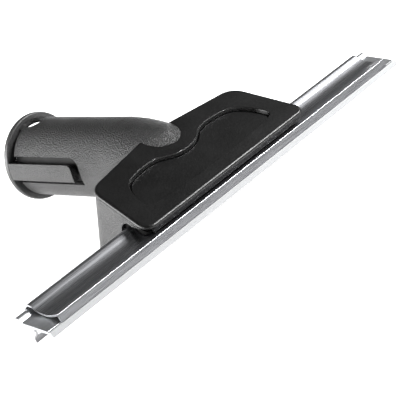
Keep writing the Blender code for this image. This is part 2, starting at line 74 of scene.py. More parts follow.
RAIL = tilted(RAIL_ORIGIN, RAIL_TILT)
COVER = tilted(COVER_ORIGIN, COVER_TILT)
LENGTH_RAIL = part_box("upper_rail")[1][0] * 2
LENGTH_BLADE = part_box("blade_carrier")[1][0] * 2
print("rail", round(LENGTH_RAIL / MM, 1), "mm, blade", round(LENGTH_BLADE / MM, 1), "mm")

# %% [markdown]
# ## Outlines
# Most edges of a moulding are straight runs joined by arcs, so two helpers draw them: an arc by
# formula and a smooth curve through a few chosen points. A third moves an outline sideways, which
# is how a wall gets its thickness and an edge its rounding.

# %% Arc, smooth curve and offset


def arc(centre, radii, start, end, steps):
    turns = [start + (end - start) * i / steps for i in range(steps + 1)]
    return [(centre[0] + radii[0] * math.cos(t), centre[1] + radii[1] * math.sin(t)) for t in turns]


def spline(points, steps, closed=False):
    count = len(points)
    line = []
    for i in range(count if closed else count - 1):
        index = [i + k - 1 for k in range(4)]
        index = [k % count if closed else min(max(k, 0), count - 1) for k in index]
        p = [Vector(points[k]) for k in index]
        for j in range(steps):
            t = j / steps
            line.append(tuple(0.5 * (2 * p[1] + (p[2] - p[0]) * t
                                     + (2 * p[0] - 5 * p[1] + 4 * p[2] - p[3]) * t ** 2
                                     + (3 * p[1] - p[0] - 3 * p[2] + p[3]) * t ** 3)))
    return line if closed else line + [tuple(points[-1])]


def offset(points, distance, closed=False):
    """Move a line to its left."""
    count = len(points)
    moved = []
    for i, point in enumerate(points):
        before = points[(i - 1) % count] if closed or i > 0 else point
        after = points[(i + 1) % count] if closed or i < count - 1 else point
        way = (Vector(after) - Vector(before)).normalized()
        moved.append((point[0] - way.y * distance, point[1] + way.x * distance))
    return moved


def mirrored(half):
    return half + [(-x, y) for x, y in reversed(half) if x > 1e-6]


# %% The head's plan and the cover's recess
COVER_CORNERS = [(65.4, 0.6, 6.0), (57.0, 44.8, 11.0), (0.0, 53.0, 0.0)]
RECESS_HALF = [(0.0, 9.4), (16.0, 9.6), (32.0, 10.4), (44.0, 11.4), (48.8, 13.2), (49.4, 16.2),
               (48.0, 21.5), (45.8, 26.5), (42.8, 30.8), (38.5, 33.6), (32.0, 35.1), (24.0, 35.6),
               (17.5, 34.8), (12.5, 32.3), (8.0, 29.8), (4.0, 28.7), (0.0, 28.4)]


def crossing(a, b, c, d):
    r, q = Vector(b) - Vector(a), Vector(d) - Vector(c)
    return tuple(Vector(a) + r * ((Vector(c) - Vector(a)).cross(q) / r.cross(q)))


def rounded(corner, before, after, radius, steps):
    a, b = [(Vector(p) - Vector(corner)).normalized() for p in (before, after)]
    half = a.angle(b) / 2
    centre = Vector(corner) + (a + b).normalized() * radius / math.sin(half)
    start = Vector(corner) + a * radius / math.tan(half) - centre
    end = Vector(corner) + b * radius / math.tan(half) - centre
    sweep = start.angle_signed(end)
    turns = [Matrix.Rotation(-sweep * i / steps, 2) for i in range(steps + 1)]
    return [tuple(centre + turn @ start) for turn in turns]


def plan(inset, steps=10):
    """The head's outline, drawn in by the inset; it always has the same number of points."""
    corners = COVER_CORNERS + [(-x, s, r) for x, s, r in COVER_CORNERS[-2::-1]]
    count = len(corners)
    sides = [offset([corners[i][:2], corners[(i + 1) % count][:2]], inset) for i in range(count)]
    points = [crossing(*sides[i - 1], *sides[i]) for i in range(count)]
    outline = []
    for i, point in enumerate(points):
        radius = max(corners[i][2] - inset, 0.6)
        outline += rounded(point, points[i - 1], points[(i + 1) % count], radius, steps)
    return outline


def recess(grow):
    return offset(mirrored(spline(RECESS_HALF, 4)), -grow, closed=True)


print("plan", len(plan(0.0)), "points, recess", len(recess(0.0)), "points")

# %% [markdown]
# ## Solids
# A loft joins rings that have the same number of points, which makes tubes, plates and cutters
# alike. Because each ring can be a little smaller than the last, a loft also rounds its own edges,
# so no bevel has to guess. Boolean modifiers then join and cut the lofts, as a toolmaker would cut
# a mould.

# %% Loft, boolean and finish


def loft(name, rings, to_world=SOCKET):
    """Skin rings of millimetre points and cap both ends."""
    skin = bmesh.new()
    rows = [[skin.verts.new(Vector(p) * MM) for p in ring] for ring in rings]
    for a, b in zip(rows, rows[1:]):
        for i in range(len(a)):
            k = (i + 1) % len(a)
            skin.faces.new((a[i], a[k], b[k], b[i]))
    skin.faces.new(rows[0])
    skin.faces.new(rows[-1])
    return solid(name, skin, to_world)


def solid(name, skin, to_world):
    bmesh.ops.remove_doubles(skin, verts=skin.verts, dist=0.000002)
    bmesh.ops.recalc_face_normals(skin, faces=skin.faces)
    mesh = bpy.data.meshes.new(name)
    skin.to_mesh(mesh)
    skin.free()
    mesh.transform(to_world)
    piece = bpy.data.objects.new(name, mesh)
    bpy.context.scene.collection.objects.link(piece)
    return piece


def level(outline, height):
    return [(x, y, height) for x, y in outline]


def across(section, x):
    """A (y, z) section stood up at a place along the blade."""
    return [(x, y, z) for y, z in section]


def around(radius, y, segments=96, height=None):
    """A ring about the socket's axis."""
    turns = [2 * math.pi * i / segments for i in range(segments)]
    return [(radius * math.cos(t), y, (height or radius) * math.sin(t)) for t in turns]


def boolean(piece, operation, *others):
    for other in others:
        modifier = piece.modifiers.new(operation.lower(), "BOOLEAN")
        modifier.operation = operation
        modifier.object = other
    apply(piece)
    for other in others:
        bpy.data.objects.remove(other, do_unlink=True)
    return piece


def apply(piece):
    """Turn a piece with live modifiers into a plain mesh."""
    bpy.context.view_layer.update()
    evaluated = piece.evaluated_get(bpy.context.evaluated_depsgraph_get())
    mesh = bpy.data.meshes.new_from_object(evaluated)
    piece.modifiers.clear()
    piece.data = mesh
    return piece


def soften(piece, width, segments=2, angle=40):
    """Round every edge sharper than the angle."""
    bevel = piece.modifiers.new("rounding", "BEVEL")
    bevel.width = width * MM
    bevel.segments = segments
    bevel.limit_method = "ANGLE"
    bevel.angle_limit = math.radians(angle)
    return apply(piece)


def finish(piece, mat, body, slot, *nodes, angle=35):
    """Shade smooth, but let each large flat face keep its own normal, and ride on a body."""
    piece.data.materials.clear()
    piece.data.materials.append(mat)
    piece.data.shade_smooth()
    piece.data.set_sharp_from_angle(angle=math.radians(angle))
    weighted = piece.modifiers.new("flat_faces", "WEIGHTED_NORMAL")
    weighted.keep_sharp = True
    apply(piece)
    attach(piece, body)
    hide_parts(*nodes)
    print(piece.name, len(piece.data.polygons), "faces")
    return piece


def paint(piece, mat, inside):
    """Give a second finish to the faces that the test picks out."""
    piece.data.materials.append(mat)
    chosen = [face for face in piece.data.polygons if inside(face)]
    for face in chosen:
        face.material_index = len(piece.data.materials) - 1
    print(piece.name, len(chosen), "faces are", mat.name)


# %% [markdown]
# ## Shared surface effects
# Moulded plastic copies the texture of its steel mould: a coarse grain on the grips and a fine
# satin on the show faces. Drawn aluminium has faint lines along its length. Each effect is one
# node group, so every material can use it at its own scale.

# %% A helper for node groups


def group(name, inputs, outputs):
    tree = bpy.data.node_groups.new(name, "ShaderNodeTree")
    for label, kind, value in inputs:
        socket = tree.interface.new_socket(label, in_out="INPUT", socket_type=kind)
        if value is not None:
            socket.default_value = value
    for label, kind in outputs:
        tree.interface.new_socket(label, in_out="OUTPUT", socket_type=kind)
    start, end = tree.nodes.new("NodeGroupInput"), tree.nodes.new("NodeGroupOutput")
    return tree, start.outputs, end.inputs


def node(tree, kind, links=(), **settings):
    made = tree.nodes.new(kind)
    for key, value in settings.items():
        setattr(made, key, value)
    for socket, source in links:
        if isinstance(source, bpy.types.NodeSocket):
            tree.links.new(source, made.inputs[socket])
        else:
            made.inputs[socket].default_value = source
    return made


# %% Moulded grain


def moulded_grain():
    """Pebbled mould texture from two sizes of noise, and a slow variation for the roughness."""
    tree, given, out = group("moulded_grain",
                             [("Scale", "NodeSocketFloat", 1200.0), ("Fine", "NodeSocketFloat", 0.3)],
                             [("Height", "NodeSocketFloat"), ("Variation", "NodeSocketFloat")])
    spot = node(tree, "ShaderNodeTexCoord").outputs["Object"]
    cells = node(tree, "ShaderNodeTexNoise", [("Vector", spot), ("Scale", given["Scale"]),
                                              ("Detail", 1.0), ("Roughness", 0.4)])
    double = node(tree, "ShaderNodeMath", [(0, given["Scale"]), (1, 2.6)], operation="MULTIPLY")
    dust = node(tree, "ShaderNodeTexNoise", [("Vector", spot), ("Scale", double.outputs[0]),
                                             ("Detail", 1.0)])
    mixed = node(tree, "ShaderNodeMix", [("Factor", given["Fine"]), ("A", cells.outputs[0]),
                                         ("B", dust.outputs[0])])
    tree.links.new(mixed.outputs[0], out["Height"])
    slow = node(tree, "ShaderNodeTexNoise", [("Vector", spot), ("Scale", 60.0), ("Detail", 3.0)])
    tree.links.new(slow.outputs[0], out["Variation"])
    return tree


GRAIN = moulded_grain()

# %% Drawn lines


def drawn_lines():
    """Faint die lines that run along the blade."""
    tree, given, out = group("drawn_lines", [("Across", "NodeSocketFloat", 4000.0)],
                             [("Height", "NodeSocketFloat"), ("Streak", "NodeSocketFloat")])
    spot = node(tree, "ShaderNodeTexCoord").outputs["Object"]
    narrow = node(tree, "ShaderNodeMapping", [("Vector", spot), ("Scale", (0.01, 1.0, 1.0))])
    fine = node(tree, "ShaderNodeTexNoise", [("Vector", narrow.outputs[0]),
                                             ("Scale", given["Across"]), ("Detail", 2.0)])
    broad = node(tree, "ShaderNodeTexNoise", [("Vector", narrow.outputs[0]), ("Scale", 500.0),
                                              ("Detail", 2.0)])
    tree.links.new(fine.outputs[0], out["Height"])
    tree.links.new(broad.outputs[0], out["Streak"])
    return tree


LINES = drawn_lines()

# %% [markdown]
# ## Finishes
# Every plastic here is nearly black. The pieces differ in how coarse their texture is, how much
# lighter its peaks are and how sharply they reflect. A dark base colour with a medium roughness
# lets the lights draw the form, and the grain breaks the reflection up into the sparkle that
# coarse mouldings have.

# %% Plastic


def ranged(tree, source, low, high):
    spread = node(tree, "ShaderNodeMapRange", [("Value", source), ("From Min", 0.3),
                                               ("From Max", 0.7), ("To Min", low), ("To Max", high)])
    return spread.outputs[0]


def tinted(tree, source, dark, light):
    mixed = node(tree, "ShaderNodeMix", [("A", (*dark, 1.0)), ("B", (*light, 1.0))],
                 data_type="RGBA")
    tree.links.new(ranged(tree, source, 0.0, 1.0), mixed.inputs["Factor"])
    return mixed.outputs["Result"]


def plastic(name, dark, light, rough, scale, depth, fine=0.3, specular=0.5):
    mat = bpy.data.materials.new(name)
    mat.use_nodes = True
    tree = mat.node_tree
    shader = tree.nodes["Principled BSDF"]
    grain = node(tree, "ShaderNodeGroup", node_tree=GRAIN)
    grain.inputs["Scale"].default_value = scale
    grain.inputs["Fine"].default_value = fine
    colour = tinted(tree, grain.outputs["Height"], dark, light)
    tree.links.new(colour, shader.inputs["Base Color"])
    rough_socket = ranged(tree, grain.outputs["Variation"], rough - 0.04, rough + 0.04)
    tree.links.new(rough_socket, shader.inputs["Roughness"])
    bump = node(tree, "ShaderNodeBump", [("Height", grain.outputs["Height"]), ("Strength", 1.0),
                                         ("Distance", depth * MM)])
    tree.links.new(bump.outputs[0], shader.inputs["Normal"])
    shader.inputs["Specular IOR Level"].default_value = specular
    return mat


COARSE = plastic("coarse_moulded_black", (0.002,) * 3, (0.018,) * 3, 0.36, 1250.0, 0.9, 0.4, 0.5)
SLEEVE = plastic("sleeve_moulded_black", (0.012,) * 3, (0.04,) * 3, 0.4, 1300.0, 0.25, 0.4, 0.5)
SATIN = plastic("satin_black", (0.001,) * 3, (0.006,) * 3, 0.34, 900.0, 0.12, 0.5, 0.3)
PANEL = plastic("panel_satin_black", (0.001,) * 3, (0.005,) * 3, 0.36, 900.0, 0.10, 0.5, 0.25)
GLOSS = plastic("polished_black", (0.003,) * 3, (0.006,) * 3, 0.16, 2600.0, 0.004, 0.3, 0.5)
# A darker, duller black used as painted shade on the socket's lining, the tongue beds and the rail
# saddle, where shade falls.
SHADE_BLACK = plastic("painted_shade_black", (0.004,) * 3, (0.006,) * 3, 0.6, 2000.0, 0.02, 0.3, 0.12)

# %% Metal and rubber


def metal(name, dark, light, rough, across):
    mat = bpy.data.materials.new(name)
    mat.use_nodes = True
    tree = mat.node_tree
    shader = tree.nodes["Principled BSDF"]
    shader.inputs["Metallic"].default_value = 1.0
    lines = node(tree, "ShaderNodeGroup", node_tree=LINES)
    lines.inputs["Across"].default_value = across
    tree.links.new(tinted(tree, lines.outputs["Streak"], dark, light), shader.inputs["Base Color"])
    tree.links.new(ranged(tree, lines.outputs["Height"], rough - 0.05, rough + 0.05),
                   shader.inputs["Roughness"])
    bump = node(tree, "ShaderNodeBump", [("Height", lines.outputs["Height"]), ("Strength", 0.6),
                                         ("Distance", 0.004 * MM)])
    tree.links.new(bump.outputs[0], shader.inputs["Normal"])
    return mat


ANODISED = metal("anodised_rail", (0.33, 0.335, 0.35), (0.38, 0.385, 0.4), 0.3, 5000.0)
CARRIER = metal("anodised_carrier", (0.42, 0.43, 0.44), (0.48, 0.49, 0.5), 0.42, 5000.0)
ZINC = metal("zinc_screw", (0.5, 0.5, 0.51), (0.62, 0.62, 0.63), 0.3, 9000.0)
BRASS = metal("turned_brass", (0.6, 0.43, 0.18), (0.72, 0.54, 0.25), 0.3, 9000.0)
PALE = plastic("pale_rubber", (0.26, 0.265, 0.27), (0.31, 0.315, 0.32), 0.5, 1800.0, 0.01)
GREY = plastic("grey_rubber", (0.15, 0.15, 0.155), (0.18, 0.18, 0.185), 0.5, 1800.0, 0.01)
print(len(bpy.data.materials), "materials")

# %% [markdown]
# ## Extrusions
# The rail, the blade carrier and both lips are one section pushed straight along the blade, so one
# geometry node tree makes them all. It takes the section as its input and sweeps it along a line
# of the asked length. The sawn ends get a small bevel afterwards, which catches the light as a
# bright line.

# %% The extrusion tree


def extrusion_tree():
    tree = bpy.data.node_groups.new("extrusion", "GeometryNodeTree")
    face = tree.interface
    face.new_socket("Section", in_out="INPUT", socket_type="NodeSocketGeometry")
    face.new_socket("Length", in_out="INPUT", socket_type="NodeSocketFloat")
    face.new_socket("Finish", in_out="INPUT", socket_type="NodeSocketMaterial")
    face.new_socket("Extrusion", in_out="OUTPUT", socket_type="NodeSocketGeometry")
    given = node(tree, "NodeGroupInput").outputs
    half = node(tree, "ShaderNodeMath", [(0, given["Length"]), (1, 0.5)], operation="MULTIPLY")
    back = node(tree, "ShaderNodeMath", [(0, half.outputs[0]), (1, -1.0)], operation="MULTIPLY")
    low = node(tree, "ShaderNodeCombineXYZ", [("X", back.outputs[0])])
    high = node(tree, "ShaderNodeCombineXYZ", [("X", half.outputs[0])])
    line = node(tree, "GeometryNodeCurvePrimitiveLine", [("Start", low.outputs[0]),
                                                         ("End", high.outputs[0])])
    section = node(tree, "GeometryNodeMeshToCurve", [("Mesh", given["Section"])])
    sweep = node(tree, "GeometryNodeCurveToMesh", [("Curve", line.outputs[0]),
                                                   ("Profile Curve", section.outputs[0]),
                                                   ("Fill Caps", True)])
    whole = node(tree, "GeometryNodeRealizeInstances", [("Geometry", sweep.outputs[0])])
    finished = node(tree, "GeometryNodeSetMaterial", [("Geometry", whole.outputs[0]),
                                                      ("Material", given["Finish"])])
    node(tree, "NodeGroupOutput", [("Extrusion", finished.outputs[0])])
    return tree


EXTRUSION = extrusion_tree()


def grow(piece, tree, **values):
    """Put a node tree on a piece, set its named inputs and turn the result into a mesh."""
    modifier = piece.modifiers.new(tree.name, "NODES")
    modifier.node_group = tree
    for item in tree.interface.items_tree:
        if item.item_type == "SOCKET" and item.in_out == "INPUT" and item.name in values:
            modifier[item.identifier] = values[item.name]
    return apply(piece)


# %% Sweep one section


def extrude(name, section, length, mat, to_world):
    """The sweep turns a flat drawing half round, so the section is drawn with both signs reversed."""
    mesh = bpy.data.meshes.new(name)
    count = len(section)
    mesh.from_pydata([(-y * MM, -z * MM, 0.0) for y, z in section],
                     [(i, (i + 1) % count) for i in range(count)], [])
    piece = bpy.data.objects.new(name, mesh)
    bpy.context.scene.collection.objects.link(piece)
    grow(piece, EXTRUSION, Length=length, Finish=mat)
    shape = bmesh.new()
    shape.from_mesh(piece.data)
    bmesh.ops.remove_doubles(shape, verts=shape.verts, dist=0.000001)
    bmesh.ops.recalc_face_normals(shape, faces=shape.faces)
    shape.to_mesh(piece.data)
    shape.free()
    piece.data.transform(to_world)
    return piece


trial = extrude("trial", [(0, 0), (2, 0), (2, 1), (0, 1)], 0.01, PALE, Matrix.Identity(4))
print("trial corners", sorted({tuple(round(c / MM, 1) for c in v.co) for v in trial.data.vertices}))
bpy.data.objects.remove(trial, do_unlink=True)

# %% [markdown]
# ## Rail and blade
# The rail is a thin aluminium S: a hook at the back wraps the blade's bead, the hollow slope runs
# down to a sharp ridge, and a short front face stands on the blade's plate. The ridge is given a
# tiny radius, because a perfectly sharp edge has no face that could catch the light.

# %% Upper rail
RAIL_FOOT, RAIL_RIDGE, RAIL_WALL = (-4.45, 0.35), (-2.45, 4.0), 1.0
RAIL_SLOPE = [RAIL_RIDGE, (0.6, 2.8), (4.0, 1.65), (7.5, 1.4), (10.2, 1.7), (12.6, 2.45),
              (14.6, 3.4), (16.4, 3.95), (18.4, 3.35), (19.9, 1.9), (20.6, 0.1), (20.3, -1.6),
              (19.2, -2.85), (17.5, -3.35)]


def rail_section():
    slope = spline(RAIL_SLOPE, 8)
    ridge = rounded(RAIL_RIDGE, RAIL_FOOT, slope[4], 0.35, 5)
    inner = offset(slope, -RAIL_WALL)
    inner[0] = (RAIL_RIDGE[0] + 0.35, RAIL_RIDGE[1] - 1.5)
    foot = (RAIL_FOOT[0] + 1.15 * RAIL_WALL, RAIL_FOOT[1])
    return [RAIL_FOOT] + ridge + slope[2:] + inner[:0:-1] + [inner[0], foot]


rail = extrude("upper_rail_extrusion", rail_section(), LENGTH_RAIL, ANODISED, RAIL)
soften(rail, 0.12, 1, 60)
finish(rail, ANODISED, "head", "rail_aluminium", "upper_rail")

# %% Blade carrier
PLATE_FRONT, PLATE_THICKNESS = -2.95, 1.4
BEAD, BEAD_RADII = (16.9, -0.2), (2.35, 1.85)
FIN_ROOT, GROOVE_RADIUS = (5.4, -2.3), 1.05


def carrier_section():
    root_y, low, rib_low = FIN_ROOT[0], -PLATE_THICKNESS, FIN_ROOT[1] - 0.75
    bead = arc(BEAD, BEAD_RADII, math.radians(-140), math.radians(155), 30)
    groove = arc(FIN_ROOT, (GROOVE_RADIUS,) * 2, math.radians(-40), math.radians(220), 20)
    rib = [(root_y - GROOVE_RADIUS - 1.0, low), (root_y - GROOVE_RADIUS - 0.8, rib_low)]
    rib += groove[::-1]
    rib += [(root_y + GROOVE_RADIUS + 0.8, rib_low), (root_y + GROOVE_RADIUS + 1.0, low)]
    return [(PLATE_FRONT, 0.0), (PLATE_FRONT, low)] + rib + [(14.3, low)] + bead + [(14.2, 0.0)]


carrier = extrude("blade_carrier_extrusion", carrier_section(), LENGTH_BLADE, CARRIER, RAIL)
soften(carrier, 0.1, 1, 60)
finish(carrier, CARRIER, "blade", "carrier_aluminium", "blade_carrier")

# %% [markdown]
# ## Lips
# The wiping lip is soft and pale, and thins towards its edge. The rear lip curls forward under the
# plate. Both are drawn round their own roots, because that is where they bend.

# %% Wiping lip and rear lip
LIP_ROOT, LIP_ROOT_RADIUS, LIP_TIP = (-4.1, -0.8), 0.8, (-5.95, -2.45)
FIN_BULB = 0.72
FIN_LINE = [FIN_ROOT, (5.5, -3.5), (6.6, -4.9), (7.5, -6.3), (7.4, -7.6), (6.8, -8.8)]


def lip_section():
    tip, root = Vector(LIP_TIP), Vector(LIP_ROOT)
    side = (tip - root).orthogonal().normalized()
    heading = math.atan2(side.y, side.x)
    back = arc(LIP_ROOT, (LIP_ROOT_RADIUS,) * 2, heading, heading + math.pi, 16)
    return [tuple(tip + side * 0.25)] + back + [tuple(tip - side * 0.25)]


def fin_section():
    neck = spline(FIN_LINE, 8)[5:]
    widths = [0.44 - 0.16 * i / (len(neck) - 1) for i in range(len(neck))]
    left = [offset(neck, w)[i] for i, w in enumerate(widths)]
    right = [offset(neck, -w)[i] for i, w in enumerate(widths)]
    bulb = arc(FIN_ROOT, (FIN_BULB,) * 2, math.radians(-45), math.radians(225), 16)
    return bulb + right + left[::-1]


lip = extrude("wiping_lip_edge", lip_section(), LENGTH_BLADE, PALE, RAIL)
finish(lip, PALE, "front_lip", "lip_rubber", "wiping_lip")
fin = extrude("rear_lip_edge", fin_section(), LENGTH_BLADE, GREY, RAIL)
finish(fin, GREY, "rear_lip", "rear_lip_rubber", "rear_lip")

# %% [markdown]
# ## Collar and spring tongues
# The sleeve lines the socket and ends in a beaded collar. Two raised tongues grow from the collar
# and lie in slots of the tube. A turned profile makes the sleeve. The tongues and the slots are
# lofts along the socket's axis, whose arcs narrow near the end to draw a round corner.

# %% Slots and tongues
TUBE_RADIUS, TUBE_BORE, COLLAR_RADIUS, COLLAR_WIDTH, COLLAR_ROUND = 21.87, 19.9, 24.7, 3.4, 0.9
SLEEVE_OUTER, SLEEVE_BORE, SLEEVE_END, MOUTH_FLARE = 19.6, 17.65, -74.0, 20.4
TONGUE_BED, TONGUE_INNER, TONGUE_END, SLOT_END = 18.9, 20.9, -55.5, -58.8
TONGUE_CORNER, SLOT_CORNER, SLOT_REACH = 3.5, 7.0, 26.0
TONGUE_CENTRE, TONGUE_HALF, SLOT_HALF = [math.radians(a) for a in (5.5, 11.5, 20.8)]


def sector(inner, outer, low, high, y, side, steps=16):
    ring = arc((0, 0), (outer, outer), low, high, steps)
    ring += arc((0, 0), (inner, inner), high, low, steps)
    return [(side * x, y, z) for x, z in ring]


def sector_loft(name, radii, half, span, corner, side):
    """A stretch of tube wall with one rounded corner at its far end."""
    start, end = span
    ways = [start, (start + end) / 2, end + corner]
    ways += [end + corner * (1 - math.sin(math.radians(a))) for a in range(10, 91, 10)]
    rings = []
    for y in ways:
        short = max(end + corner - y, 0.0)
        narrow = (corner - math.sqrt(max(corner ** 2 - short ** 2, 0.0))) / TUBE_RADIUS
        rings.append(sector(*radii, TONGUE_CENTRE - half, TONGUE_CENTRE + half - narrow, y, side))
    return loft(name, rings)


def slot_cutter(name, inner, start, side):
    return sector_loft(name, (inner, SLOT_REACH), SLOT_HALF, (start, SLOT_END), SLOT_CORNER, side)


# %% Sleeve and collar


def revolve(name, profile, segments=128):
    """Turn a closed (radius, y) profile about the socket's axis."""
    skin = bmesh.new()
    rows = [[skin.verts.new(Vector(p) * MM) for p in around(r, y, segments)] for r, y in profile]
    for a, b in zip(rows, rows[1:] + rows[:1]):
        for i in range(segments):
            k = (i + 1) % segments
            skin.faces.new((a[i], a[k], b[k], b[i]))
    return solid(name, skin, SOCKET)


edge, corner = COLLAR_RADIUS - COLLAR_ROUND, (COLLAR_ROUND, COLLAR_ROUND)
bead = arc((edge, -COLLAR_ROUND), corner, math.pi / 2, 0.0, 8)
bead += arc((edge, COLLAR_ROUND - COLLAR_WIDTH), corner, 0.0, -math.pi / 2, 8)
wall = [(MOUTH_FLARE + 0.5, 0.0)] + bead
wall += [(SLEEVE_OUTER, -COLLAR_WIDTH), (SLEEVE_OUTER, SLEEVE_END + 2.0),
         (SLEEVE_OUTER - 0.8, SLEEVE_END), (SLEEVE_BORE, SLEEVE_END), (SLEEVE_BORE, -7.0),
         (MOUTH_FLARE - 0.2, -0.9), (MOUTH_FLARE, -0.3)]
collar = revolve("collar_sleeve", wall)
window = loft("window", [sector(15.0, 22.0, math.radians(50), math.radians(130), y, 1)
                         for y in (-24.0, -COLLAR_WIDTH - 0.6)])
beds = [slot_cutter("bed", TONGUE_BED, -COLLAR_WIDTH - 0.6, side) for side in (-1, 1)]
boolean(collar, "DIFFERENCE", window, *beds)
finish(collar, SLEEVE, "head", "sleeve_plastic", "locking_sleeve")
to_socket = SOCKET.inverted()


def gets_painted_shade(face):
    """True inside the socket and behind the tongues, where hardly any light gets in, so these faces
    get painted shade.
    """
    spot = to_socket @ face.center / MM
    return math.hypot(spot.x, spot.z) < MOUTH_FLARE + 0.6 and spot.y < -0.5


# The lining and the tongue beds get the darker, duller black as painted shade.
paint(collar, SHADE_BLACK, gets_painted_shade)

# %% Two tongues
for side, hand in ((-1, "left"), (1, "right")):
    span = (-COLLAR_WIDTH - 0.3, TONGUE_END)
    radii = (TONGUE_INNER, COLLAR_RADIUS)
    tongue = sector_loft("tongue_" + hand, radii, TONGUE_HALF, span, TONGUE_CORNER, side)
    soften(tongue, 0.4, 3, 50)
    finish(tongue, COARSE, "tongue_" + hand, "sleeve_plastic", "latch_tongue_" + hand)

# %% [markdown]
# ## Head moulding
# The head is one moulding: a tapering box under the cover, and a tube that runs out over the cover
# as a nose. The box is the side view pushed through the plan view, with every outer edge rounded
# before it is hollowed, so that the rounding follows the cut-out round the rail. The tube and nose
# are rings.

# %% Side view of the box
COVER_SKIN, CUTOUT_MARGIN, WALL = 2.0, 2.3, 2.2
PAN_DEPTH, GAP, JAW_FRONT = 4.9, 0.3, 10.8
POCKET_BACK, BENCH_FRONT, TUBE_START, TUBE_FLOOR, BULKHEAD = -117.5, -122.0, -6.0, -82.0, 2.5
CUTOUT_FRONT, RELIEF_FROM = 6.0, 13.5
BUTTON_HOLE_RADIUS, BUTTON_HOLE_Y = 6.0, -9.4


def from_plane(origin, angle, point):
    y, z = point
    return (origin[0] + y * math.cos(angle) - z * math.sin(angle),
            origin[1] + y * math.sin(angle) + z * math.cos(angle))


def from_rail(y, z):
    return from_plane(RAIL_ORIGIN, RAIL_TILT, (y, z))


def from_cover(s, n):
    return from_plane(COVER_ORIGIN, COVER_TILT, (s, n))


def side_view():
    relief = offset([RAIL_FOOT] + spline(RAIL_SLOPE, 6), CUTOUT_MARGIN)[5:-4]
    relief = [p for p in relief if p[0] > RELIEF_FROM or p[1] < 0.0]
    top = -COVER_SKIN - GAP
    return [from_cover(CUTOUT_FRONT, top), *[from_rail(*p) for p in relief], from_rail(19.0, -5.7),
            from_rail(JAW_FRONT, -5.7), from_rail(JAW_FRONT, -8.5), (BENCH_FRONT, -COLLAR_RADIUS),
            (-60.0, -COLLAR_RADIUS), from_cover(60.0, top)]


def slab(name, section, half=70.0):
    return loft(name, [across(section, -half), across(section, half)])


def column(name, outline_radius, low, high, centre, to_world, segments=32):
    ring = arc(centre, (outline_radius,) * 2, 0.0, 2 * math.pi, segments)[:-1]
    return loft(name, [level(ring, low), level(ring, high)], to_world)


def plan_block(inset):
    return loft("plan_block", [level(plan(inset), -70.0), level(plan(inset), 10.0)], COVER)


head = boolean(slab("head_moulding", side_view()), "INTERSECT", plan_block(0.3))
soften(head, 0.8, 3, 32)
print("head block", len(head.data.polygons), "faces")

# %% Hollow it
front = boolean(slab("front", [(-180.0, 20.0), (-180.0, -40.0), (POCKET_BACK, -40.0),
                               (POCKET_BACK, 20.0)]), "INTERSECT", plan_block(0.3 + WALL))
floor_z, back_y = -COLLAR_RADIUS + WALL, POCKET_BACK + WALL
back = boolean(slab("back", [(back_y, floor_z), (-60.0, floor_z), (-60.0, 40.0), (back_y, 40.0)]),
               "INTERSECT", plan_block(0.3 + WALL))
mouth = loft("mouth", [level([(-61.9, -5.0), (61.9, -5.0), (61.2, 4.0), (-61.2, 4.0)], z)
                       for z in (-40.0, 5.0)], COVER)
under_pan = loft("under_pan", [level(recess(1.6 + GAP), z) for z in (-PAN_DEPTH - GAP, 5.0)], COVER)
boolean(head, "DIFFERENCE", front, mouth, back, under_pan)

# %% Columns for the two cover screws
COVER_SCREW = (40.0, 38.9)
for side in (-1, 1):
    place = (side * COVER_SCREW[0], COVER_SCREW[1])
    boolean(head, "UNION", column("boss", 4.0, -36.0, -10.0, place, COVER))
    boolean(head, "DIFFERENCE", column("access", 3.1, -60.0, -12.3, place, COVER),
            column("way", 1.6, -20.0, -5.0, place, COVER))

# %% Tube and nose
NOSE = [(-78.0, 21.87, 21.87), (-84.5, 21.8, 21.3), (-88.0, 21.7, 20.9), (-94.0, 21.3, 19.8),
        (-100.0, 20.3, 18.7), (-104.0, 18.8, 18.2), (-107.0, 16.8, 17.6), (-110.0, 14.4, 16.6),
        (-112.4, 12.0, 14.9), (-114.0, 9.4, 13.1), (-115.0, 6.6, 11.5), (-115.5, 3.6, 10.4)]


def nose_rings(grown, stations):
    return [around(w + grown, y, 96, h + grown) for y, w, h in spline(stations, 4)]


tube = loft("tube", [around(TUBE_RADIUS, TUBE_START)] + nose_rings(0.0, NOSE))
under = slab("under", [(-60.0, -30.0), from_cover(80.0, -6.5), from_cover(20.0, -6.5),
                       (-140.0, -30.0)], 40.0)
boolean(tube, "DIFFERENCE", boolean(under, "INTERSECT", plan_block(0.3 + WALL / 2)))
bridge = loft("bridge", [sector(TUBE_BORE, TUBE_RADIUS, math.radians(70), math.radians(110), y, 1)
                         for y in (TUBE_START - 2.0, -COLLAR_WIDTH - GAP)])
boolean(head, "UNION", tube, bridge)
bore = loft("bore", [around(TUBE_BORE, TUBE_FLOOR), around(TUBE_BORE, 5.0)])
hollow = loft("hollow", nose_rings(-WALL, [s for s in NOSE if s[0] <= TUBE_FLOOR - BULKHEAD][:-3]))
button = column("button", BUTTON_HOLE_RADIUS, 10.0, 30.0, (0.0, BUTTON_HOLE_Y), SOCKET, 64)
slots = [slot_cutter("slot", 15.0, 1.0, side) for side in (-1, 1)]
boolean(head, "DIFFERENCE", bore, hollow, button, *slots)
finish(head, COARSE, "head", "housing_plastic", "head_housing", angle=30)

# %% [markdown]
# ## Cover and panel
# The cover is a smooth plate with a rounded edge and a sunk panel. Its rings shrink towards the
# top to make the rounded edge. The recess is cut with a shaped cutter: it flares at the rim, leans
# a little on the way down and rounds off at the floor, so one cut leaves all three.

# %% Cover plate
EDGE, RECESS_DEPTH, INLAY_SINK, GROOVE = 1.5, 3.2, 2.0, 0.8


def cover_rings():
    rings = [level(plan(0.25), -COVER_SKIN), level(plan(0.0), -COVER_SKIN + 0.2)]
    for turn in range(0, 91, 10):
        t = math.radians(turn)
        rings.append(level(plan(EDGE * (1 - math.cos(t))), EDGE * (math.sin(t) - 1)))
    return rings


